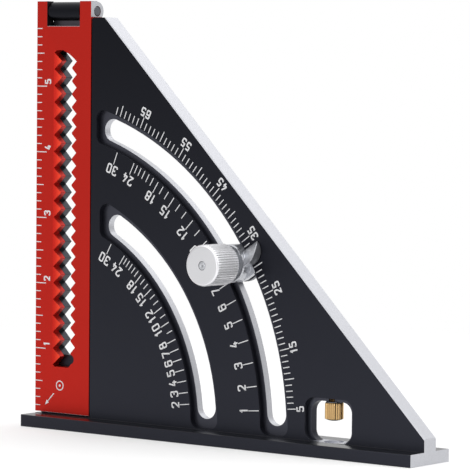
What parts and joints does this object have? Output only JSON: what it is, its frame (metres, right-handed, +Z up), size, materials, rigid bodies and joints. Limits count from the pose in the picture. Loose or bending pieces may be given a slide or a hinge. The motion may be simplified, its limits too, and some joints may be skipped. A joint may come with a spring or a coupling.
{
  "type": "folding layout square",
  "caption": "Triangular layout square on a T fence, with a fold-out rule arm, two arc slots, a sliding angle stop with a knurled knob, and a brass thumbscrew in a window.",
  "frame": {"origin": "pivot corner: the plate's left edge at the fence's top face, at the plate's front face", "axes": "+X along the fence, +Y from the front of the plate to the back, +Z up the square's upright edge"},
  "size_m": [0.1833, 0.0359, 0.1643],
  "materials": {
    "black_anodised": "fine satin black anodised, with milled bare edges",
    "red_anodised": "satin red anodised",
    "pin_steel": "dark oiled steel",
    "bright_steel": "turned bright steel",
    "knob_aluminium": "straight-knurled turned aluminium",
    "pointer_aluminium": "satin cast aluminium",
    "brass": "turned brass"
  },
  "bodies": {
    "square": {"square_body": "black_anodised"},
    "arm": {"folding_arm": "red_anodised", "hinge_pin": "pin_steel", "hinge_washers": "bright_steel"},
    "stop": {"stop_bolt": "pin_steel", "pointer": "pointer_aluminium"},
    "stop_washer": {"stop_washer": "bright_steel"},
    "knob": {"knob": "knob_aluminium"},
    "thumbscrew_washer": {"thumbscrew_washer": "pin_steel"},
    "thumbscrew": {"thumbscrew": "brass"}
  },
  "joints": [
    {"name": "arm_fold", "type": "hinge", "parent": "square", "child": "arm", "pos_m": [0.0137, 0.0036, 0.15585], "axis": [-1, 0, 0], "range_deg": [0, 180]},
    {"name": "stop_travel", "type": "hinge", "parent": "square", "child": "stop", "pos_m": [0, 0, 0], "axis": [0, -1, 0], "range_deg": [-25, 37]},
    {"name": "washer_lift", "type": "slide", "parent": "stop", "child": "stop_washer", "axis": [0, -1, 0], "range_m": [0, 0.0007]},
    {"name": "knob_turn", "type": "hinge", "parent": "stop_washer", "child": "knob", "pos_m": [0.09832, -0.0075, 0.06288], "axis": [0, -1, 0], "range_deg": [0, 360]},
    {"name": "thumbscrew_travel", "type": "slide", "parent": "square", "child": "thumbscrew_washer", "axis": [0, 0, -1], "range_m": [0, 0.0112]},
    {"name": "thumbscrew_turn", "type": "hinge", "parent": "thumbscrew_washer", "child": "thumbscrew", "pos_m": [0.14131, 0.0036, 0.01], "axis": [0, 0, -1], "range_deg": [0, 5760]}
  ],
  "couplings": [
    {"joint": "knob_turn", "follows": "washer_lift", "rad_per_m": 8976},
    {"joint": "thumbscrew_turn", "follows": "thumbscrew_travel", "rad_per_m": 8976}
  ]
}
